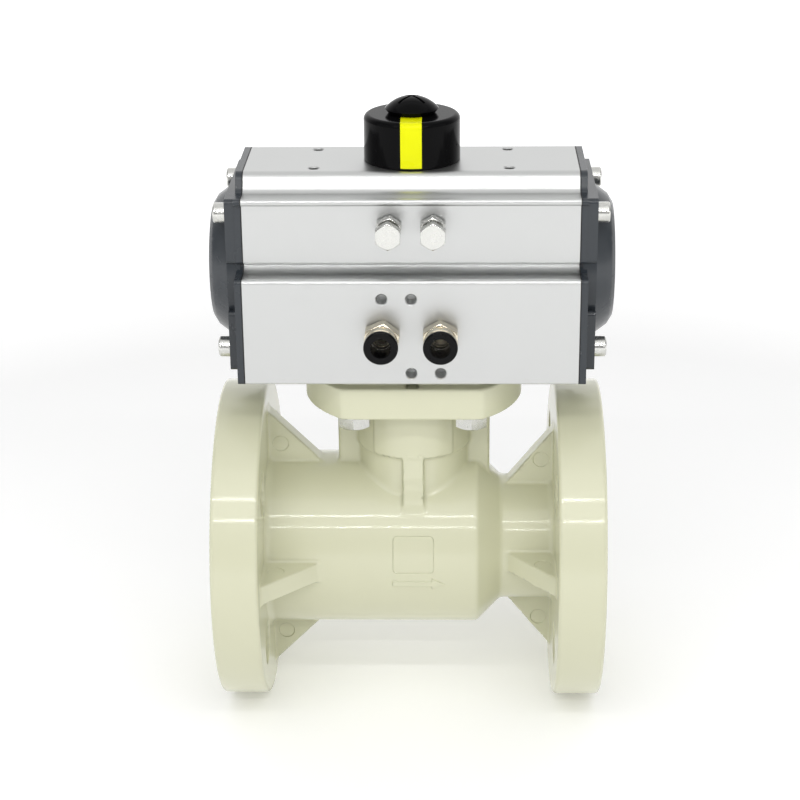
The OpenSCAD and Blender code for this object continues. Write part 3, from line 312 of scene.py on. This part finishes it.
def surface_nets(field, axes):
    """One vertex for each grid cell that the surface crosses, and a quad for each crossed edge."""
    cells = np.array(field.shape) - 1
    total = int(cells.prod())
    summed = np.zeros((3, total))
    count = np.zeros(total)
    quads = []
    strides = np.array([cells[1] * cells[2], cells[2], 1])
    step = axes[0][1] - axes[0][0]
    for axis in range(3):
        order = [axis, (axis + 1) % 3, (axis + 2) % 3]
        view = np.transpose(field, order)
        hit, share, leaving = edge_crossings(view, 0)
        index = np.empty_like(hit)
        index[order] = hit
        place = np.array([axes[k][index[k]] for k in range(3)], float)
        place[axis] += share * step
        ring = []
        for du, dv in ((1, 1), (0, 1), (0, 0), (1, 0)):
            cell = index.copy()
            cell[order[1]] -= du
            cell[order[2]] -= dv
            ring.append(strides @ cell)
        for flat in ring:
            count += np.bincount(flat, minlength=total)
            for k in range(3):
                summed[k] += np.bincount(flat, weights=place[k], minlength=total)
        corners = np.stack(ring, 1)
        corners[~leaving] = corners[~leaving][:, ::-1]
        quads.append(corners)
    used = np.nonzero(count)[0]
    number = np.full(total, -1)
    number[used] = np.arange(len(used))
    return (summed[:, used] / count[used]).T, number[np.concatenate(quads)]


def slope_at(points, reach=SLOPE_REACH):
    """Gradient of the body's distance at each point."""
    parts = []
    for k in range(3):
        ahead, behind = points.copy(), points.copy()
        ahead[:, k] += reach
        behind[:, k] -= reach
        parts.append((body_distance(*ahead.T) - body_distance(*behind.T)) / (2 * reach))
    return np.stack(parts, 1)


def onto_surface(points, rounds):
    """Moves points to the zero level of the distance."""
    for _ in range(rounds):
        slope = slope_at(points)
        size = np.maximum((slope * slope).sum(1), LEAST_SLOPE)
        move = body_distance(*points.T)[:, None] * slope / size[:, None]
        points = points - np.clip(move, -MOST_MOVE, MOST_MOVE)
    return points


def relaxed(points, edges, rounds):
    """Evens out the spacing of the vertices while they stay on the surface."""
    a, b = edges.T
    count = np.bincount(np.concatenate((a, b)), minlength=len(points))[:, None]
    for _ in range(rounds):
        total = np.stack([np.bincount(a, points[b, k], len(points)) for k in range(3)], 1)
        total += np.stack([np.bincount(b, points[a, k], len(points)) for k in range(3)], 1)
        points = onto_surface(points * 0.5 + total / count * 0.5, 1)
    return points


def detail_boxes():
    """Boxes, in millimetres, where small moulded marks need finer faces."""
    half = RIB_T / 2 + 1
    ring = MARK_R + 1.5
    front_low = (ARROW_START - 2, -BARREL_R - 2, ARROW_Z - 5)
    front_high = (STEM_X + 15, -20, LABEL_Z + LABEL_H / 2 + 2)
    boxes = [(front_low, front_high)]
    for cx, ch in RIB_MARKS:
        for s in (-1, 1):
            boxes.append(((cx - ring, -half, s * ch - ring), (cx + ring, half, s * ch + ring)))
            boxes.append(((cx - ring, s * ch - ring, -half), (cx + ring, s * ch + ring, half)))
    for s in (-1, 1):
        cx = STEM_X + s * WEB_MARK[0]
        cz = WEB_MARK[1]
        boxes.append(((cx - ring, -half, cz - ring), (cx + ring, half, cz + ring)))
    return boxes


def refine(mesh, boxes):
    """Splits the faces inside the boxes, so that small marks come out crisp."""
    bm = bmesh.new()
    bm.from_mesh(mesh)
    co = np.array([v.co for v in bm.verts]) / MM
    inside = np.zeros(len(co), bool)
    for low, high in boxes:
        inside |= ((co > low) & (co < high)).all(1)
    edges = [e for e in bm.edges if inside[e.verts[0].index] and inside[e.verts[1].index]]
    bmesh.ops.subdivide_edges(bm, edges=edges, cuts=1, use_grid_fill=True)
    bm.to_mesh(mesh)
    bm.free()


def vertices_of(mesh):
    co = np.empty(len(mesh.vertices) * 3, np.float32)
    mesh.vertices.foreach_get("co", co)
    return co.reshape(-1, 3).astype(float) / MM


def edges_of(mesh):
    pairs = np.empty(len(mesh.edges) * 2, np.int32)
    mesh.edges.foreach_get("vertices", pairs)
    return pairs.reshape(-1, 2)


def set_vertices(mesh, points):
    mesh.vertices.foreach_set("co", (points * MM).astype(np.float32).ravel())
    mesh.update()


def settle(mesh, rounds):
    """Puts a mesh on the body's surface and evens out its vertices."""
    points = onto_surface(vertices_of(mesh), SETTLE_ROUNDS)
    set_vertices(mesh, relaxed(points, edges_of(mesh), rounds))


def moulded_body(step):
    """The body as one skin with real fillets."""
    axes = grid_axes((0, -FLANGE_R, -FLANGE_R), (BODY_LEN, FLANGE_R, PAD_TOP), step)
    x, y, z = axes[0][:, None, None], axes[1][None, :, None], axes[2][None, None, :]
    size = [len(a) for a in axes]
    field = np.ascontiguousarray(np.broadcast_to(body_distance(x, y, z), size))
    points, quads = surface_nets(field, axes)
    mesh = bpy.data.meshes.new("moulded_body")
    mesh.from_pydata(points * MM, [], quads.tolist())
    mesh.update()
    settle(mesh, RELAX_ROUNDS)
    for _ in range(DETAIL_SPLITS):
        refine(mesh, detail_boxes())
        settle(mesh, DETAIL_ROUNDS)
    mesh.polygons.foreach_set("use_smooth", [True] * len(mesh.polygons))
    slope = slope_at(vertices_of(mesh), NORMAL_REACH)
    slope /= np.maximum(np.linalg.norm(slope, axis=1), 1e-6)[:, None]
    mesh.normals_split_custom_set_from_vertices(slope.tolist())
    body = bpy.data.objects.new("moulded_body", mesh)
    bpy.context.scene.collection.objects.link(body)
    return body


# ---------------------------------------------------------------- materials

# Share of the noise's range that the roughness and the colours are spread over
NOISE_SPAN = (0.25, 0.75)
RAMP_SPAN = (0.3, 0.7)


def node(tree, kind, **inputs):
    """A shader node with its inputs set by name."""
    made = tree.nodes.new(kind)
    for key, value in inputs.items():
        made.inputs[key.replace("_", " ")].default_value = value
    return made


def ranged(tree, source, low, high):
    """Stretches the middle of a noise to a range."""
    made = node(tree, "ShaderNodeMapRange", From_Min=NOISE_SPAN[0], From_Max=NOISE_SPAN[1],
                To_Min=low, To_Max=high)
    tree.links.new(source, made.inputs["Value"])
    return made.outputs["Result"]


def noise(tree, place, scale, detail=3.0, rough=0.5, stretch=(1, 1, 1)):
    """Cloudy noise at a scale, stretched along the axes if asked."""
    mapping = tree.nodes.new("ShaderNodeMapping")
    mapping.inputs["Scale"].default_value = stretch
    tree.links.new(place, mapping.inputs["Vector"])
    made = node(tree, "ShaderNodeTexNoise", Scale=scale, Detail=detail, Roughness=rough)
    tree.links.new(mapping.outputs["Vector"], made.inputs["Vector"])
    return made.outputs["Fac"]


def two_tone(tree, factor, dark, light):
    """A colour that drifts between two tones."""
    ramp = tree.nodes.new("ShaderNodeValToRGB")
    for stop, position, tone in zip(ramp.color_ramp.elements, RAMP_SPAN, (dark, light)):
        stop.position = position
        stop.color = (*tone, 1)
    tree.links.new(factor, ramp.inputs["Fac"])
    return ramp.outputs["Color"]


def shade(colour, amount):
    return tuple(min(1.0, c * amount) for c in colour)


def surface(name, colour, roughness, metallic=0.0, vary=0.05, patch=60.0, grain=900.0, bump=0.02,
            stretch=(1, 1, 1), rough_spread=0.06, **fixed):
    """A procedural material: patchy colour, uneven roughness and a fine grain in the surface."""
    made = bpy.data.materials.new(name)
    made.use_nodes = True
    tree = made.node_tree
    shader = tree.nodes["Principled BSDF"]
    place = tree.nodes.new("ShaderNodeTexCoord").outputs["Object"]
    cloud = noise(tree, place, patch, 4.0)
    fine = noise(tree, place, grain, 3.0, 0.6, stretch)
    tree.links.new(two_tone(tree, cloud, shade(colour, 1 - vary), shade(colour, 1 + vary)),
                   shader.inputs["Base Color"])
    tree.links.new(ranged(tree, cloud, roughness - rough_spread, roughness + rough_spread),
                   shader.inputs["Roughness"])
    relief = node(tree, "ShaderNodeBump", Strength=1.0, Distance=bump * MM)
    tree.links.new(fine, relief.inputs["Height"])
    tree.links.new(relief.outputs["Normal"], shader.inputs["Normal"])
    shader.inputs["Metallic"].default_value = metallic
    for key, value in fixed.items():
        shader.inputs[key.replace("_", " ")].default_value = value
    return made


def linear(*rgb):
    """An 8-bit screen colour as linear light."""
    return tuple(((c / 255 + 0.055) / 1.055) ** 2.4 if c > 10 else c / 255 / 12.92 for c in rgb)


MATERIALS = {
    "pph": surface("moulded_pph", linear(208, 208, 180), 0.36, vary=0.008, patch=12, grain=420,
                   bump=0.012, rough_spread=0.03, Specular_IOR_Level=0.4, Coat_Weight=0.7,
                   Coat_Roughness=0.09),
    "pph_inner": surface("machined_pph", linear(214, 214, 188), 0.38, vary=0.02, grain=1500,
                         bump=0.02),
    "ptfe": surface("white_ptfe", linear(238, 238, 233), 0.45, vary=0.02, grain=700, bump=0.01),
    "seal_rubber": surface("seal_rubber", linear(28, 28, 29), 0.6, vary=0.15, grain=1600, bump=0.02),
    "bearing_plastic": surface("bearing_plastic", linear(224, 216, 190), 0.42, vary=0.04,
                               grain=1000, bump=0.02),
    "stainless": surface("stainless_fasteners", linear(206, 206, 202), 0.24, 1.0, vary=0.06, patch=500,
                         grain=2600, bump=0.008, rough_spread=0.08),
    "anodised_aluminium": surface("anodised_aluminium", linear(200, 201, 200), 0.36, 1.0,
                                  vary=0.012, patch=20, grain=3200, bump=0.012, rough_spread=0.03),
    "cast_aluminium": surface("cast_aluminium", linear(196, 198, 200), 0.35, 1.0, vary=0.05,
                              grain=1400, bump=0.02),
    "coated_aluminium": surface("coated_end_cap", linear(44, 49, 54), 0.26, vary=0.05, patch=40, grain=1300,
                                bump=0.01, Specular_IOR_Level=0.5),
    "pinion_steel": surface("pinion_steel", linear(178, 180, 184), 0.28, 1.0, vary=0.05,
                            grain=1800, bump=0.01),
    "indicator_black": surface("indicator_black", linear(10, 10, 11), 0.12, vary=0.15, grain=500, bump=0.003,
                               rough_spread=0.03, Specular_IOR_Level=0.05),
    "indicator_yellow": surface("indicator_yellow", linear(224, 226, 4), 0.3, vary=0.02, grain=600,
                                bump=0.004, Specular_IOR_Level=0.12),
    "nickel_brass": surface("nickel_plated_brass", linear(214, 206, 186), 0.2, 1.0, vary=0.06, patch=300,
                            grain=2000, bump=0.008, rough_spread=0.06),
    "collet_plastic": surface("collet_plastic", linear(10, 10, 11), 0.12, vary=0.15, grain=900, bump=0.003,
                              rough_spread=0.03, Specular_IOR_Level=0.12),
}


def slots_of_nodes():
    """Material slot of each CAD node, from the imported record."""
    return {part["node"]: part["material_slot"] for part in frame["record"]["subparts"]}


# ---------------------------------------------------------------- CAD nodes with softened edges

# Width of each node's softened edges in millimetres, where it isn't the plain one
EDGE = {
    "actuator_housing": 0.35, "left_end_cap": 0.45, "right_end_cap": 0.45,
    "indicator_cap": 0.3, "indicator_stripe": 0.15, "indicator_screw": 0.35,
    "mounting_bolts": 0.25, "mounting_washers": 0.2, "left_cap_screws": 0.2, "right_cap_screws": 0.2,
    "closed_stop_bolt": 0.2, "open_stop_bolt": 0.2, "stop_lock_nuts": 0.2, "ball": 0.4,
    "air_fitting_a": 0.2, "air_fitting_b": 0.2, "collet_a": 0.2, "collet_b": 0.2, "seat_retainer": 0.4,
}
PLAIN_EDGE = 0.12
WELD_GAP = 0.002
FLAT_ANGLE, EDGE_ANGLE = 0.4, 32
EDGE_SEGMENTS = 3
NORMAL_WEIGHT = 80


def soften(name):
    """Welds a node's facets, rounds its edges and evens its normals, all as modifiers."""
    piece = NODES[name]
    custom = piece.data.attributes.get("custom_normal")
    if custom:
        piece.data.attributes.remove(custom)
    piece.data.polygons.foreach_set("use_smooth", [True] * len(piece.data.polygons))
    weld = piece.modifiers.new("weld", "WELD")
    weld.merge_threshold = WELD_GAP * MM
    flat = piece.modifiers.new("flat", "DECIMATE")
    flat.decimate_type = "DISSOLVE"
    flat.angle_limit = math.radians(FLAT_ANGLE)
    bevel = piece.modifiers.new("edges", "BEVEL")
    bevel.width = EDGE.get(name, PLAIN_EDGE) * MM
    bevel.segments = EDGE_SEGMENTS
    bevel.limit_method = "ANGLE"
    bevel.angle_limit = math.radians(EDGE_ANGLE)
    bevel.use_clamp_overlap = True
    even = piece.modifiers.new("normals", "WEIGHTED_NORMAL")
    even.weight = NORMAL_WEIGHT
    even.keep_sharp = True


def dress(piece, material):
    """Gives a piece its one material."""
    piece.data.materials.clear()
    piece.data.materials.append(material)


# ---------------------------------------------------------------- studio

SENSOR_W, LENS = 36, 90.37
CLIP_NEAR, CLIP_FAR = 0.05, 60
CAMERA_PLACE = (0.1019, -0.8129, 0.3886)
CAMERA_YAW, CAMERA_PITCH, CAMERA_ROLL = -1.69, 21.71, -0.59

# Each lamp: its place from the middle of the object, its width and height, and its power
LAMPS = {
    "overhead": ((0, 0, 1.1), (1.5, 1.0), 2.4),
    "front_box": ((0, -0.72, 0.9), (1.6, 0.75), 3.4),
    "left_wall": ((-1.2, -0.5, 0.4), (1.0, 1.2), 1.3),
    "right_wall": ((1.2, -0.5, 0.4), (1.0, 1.2), 1.3),
    "strip_high": ((0, -0.62, 0.66), (1.2, 0.01), 1.7),
    "strip_low": ((0, -0.9, 0.56), (1.2, 0.01), 1.7),
}

# Strength of the studio walls: dim round the camera, bright behind the object
ROOM_LIGHT, WALL_LIGHT = 0.4, 1.1
WALL_FADE = (0.2, 0.8)

# The white floor glows where the lamps don't reach: strength and distance, near and far
FLOOR_GLOW = (0.2, 0.8)
GLOW_REACH = (0.45, 1.0)
FLOOR_SIZE, FLOOR_DROP = 60, 0.0002
FLOOR_ROUGH, FLOOR_SHINE, FLOOR_PATCH = 0.9, 0.1, 4.0
FLOOR_TONES = (0.88, 0.9)


def look_matrix(place, yaw, pitch, roll):
    """Camera matrix: yaw from +Y, pitch below the horizon, roll about the view direction."""
    ahead = Vector((math.sin(yaw) * math.cos(pitch), math.cos(yaw) * math.cos(pitch), -math.sin(pitch)))
    level = Vector((math.cos(yaw), -math.sin(yaw), 0))
    over = level.cross(ahead)
    right = math.cos(roll) * level + math.sin(roll) * over
    up = -math.sin(roll) * level + math.cos(roll) * over
    turn = Matrix((right, up, -ahead)).transposed().to_4x4()
    return Matrix.Translation(place) @ turn


def add_camera():
    lens = bpy.data.cameras.new("camera")
    lens.sensor_width = SENSOR_W
    lens.lens = LENS
    lens.clip_start, lens.clip_end = CLIP_NEAR, CLIP_FAR
    camera = bpy.data.objects.new("camera", lens)
    angles = [math.radians(a) for a in (CAMERA_YAW, CAMERA_PITCH, CAMERA_ROLL)]
    camera.matrix_world = look_matrix(Vector(CAMERA_PLACE), *angles)
    bpy.context.scene.collection.objects.link(camera)
    bpy.context.scene.camera = camera


def area_light(name, place, aim, size, power):
    """A white rectangular lamp at a place, turned towards its aim."""
    lamp = bpy.data.lights.new(name, "AREA")
    lamp.shape = "RECTANGLE"
    lamp.size, lamp.size_y = size
    lamp.energy = power
    light = bpy.data.objects.new(name, lamp)
    light.location = place
    light.rotation_mode = "QUATERNION"
    light.rotation_quaternion = (Vector(place) - Vector(aim)).to_track_quat("Z", "Y")
    bpy.context.scene.collection.objects.link(light)


def add_lights():
    low, high = cad_box
    aim = (low + high) / 2
    for name, (offset, size, power) in LAMPS.items():
        area_light(name, aim + Vector(offset), aim, size, power)


def add_world():
    """White behind the object, and softer walls in what the object reflects."""
    world = bpy.data.worlds.new("studio")
    world.use_nodes = True
    tree = world.node_tree
    room = tree.nodes["Background"]
    place = tree.nodes.new("ShaderNodeSeparateXYZ")
    tree.links.new(tree.nodes.new("ShaderNodeTexCoord").outputs["Generated"], place.inputs["Vector"])
    glow = node(tree, "ShaderNodeMapRange", From_Min=WALL_FADE[0], From_Max=WALL_FADE[1],
                To_Min=ROOM_LIGHT, To_Max=WALL_LIGHT)
    glow.interpolation_type = "SMOOTHSTEP"
    tree.links.new(place.outputs["Y"], glow.inputs["Value"])
    tree.links.new(glow.outputs["Result"], room.inputs["Strength"])
    white = node(tree, "ShaderNodeBackground", Color=(1, 1, 1, 1), Strength=1.0)
    room.inputs["Color"].default_value = (1, 1, 1, 1)
    seen = tree.nodes.new("ShaderNodeMixShader")
    tree.links.new(tree.nodes.new("ShaderNodeLightPath").outputs["Is Camera Ray"], seen.inputs[0])
    tree.links.new(room.outputs[0], seen.inputs[1])
    tree.links.new(white.outputs[0], seen.inputs[2])
    tree.links.new(seen.outputs[0], tree.nodes["World Output"].inputs["Surface"])
    bpy.context.scene.world = world


def add_floor():
    """A plain white floor just under the object."""
    low, high = cad_box
    middle = ((low.x + high.x) / 2, 0, low.z - FLOOR_DROP)
    bpy.ops.mesh.primitive_plane_add(size=FLOOR_SIZE, location=middle)
    floor = bpy.context.active_object
    floor.name = "floor"
    made = bpy.data.materials.new("pale_floor")
    made.use_nodes = True
    tree = made.node_tree
    shader = tree.nodes["Principled BSDF"]
    shader.inputs["Roughness"].default_value = FLOOR_ROUGH
    shader.inputs["Specular IOR Level"].default_value = FLOOR_SHINE
    shader.inputs["Emission Color"].default_value = (1, 1, 1, 1)
    place = tree.nodes.new("ShaderNodeTexCoord").outputs["Object"]
    away = tree.nodes.new("ShaderNodeVectorMath")
    away.operation = "LENGTH"
    tree.links.new(place, away.inputs[0])
    glow = node(tree, "ShaderNodeMapRange", From_Min=GLOW_REACH[0], From_Max=GLOW_REACH[1],
                To_Min=FLOOR_GLOW[0], To_Max=FLOOR_GLOW[1])
    tree.links.new(away.outputs["Value"], glow.inputs["Value"])
    tree.links.new(glow.outputs["Result"], shader.inputs["Emission Strength"])
    dark, light = [(tone,) * 3 for tone in FLOOR_TONES]
    tones = two_tone(tree, noise(tree, place, FLOOR_PATCH), dark, light)
    tree.links.new(tones, shader.inputs["Base Color"])
    dress(floor, made)


# ---------------------------------------------------------------- build

body = moulded_body(BODY_STEP)
dress(body, MATERIALS["pph"])
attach(body, "valve")
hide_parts("valve_body")

for node_name, slot_name in slots_of_nodes().items():
    if node_name != "valve_body":
        dress(NODES[node_name], MATERIALS[slot_name])
        soften(node_name)

add_camera()
add_lights()
add_world()
add_floor()
bpy.context.scene.view_settings.view_transform = "Standard"
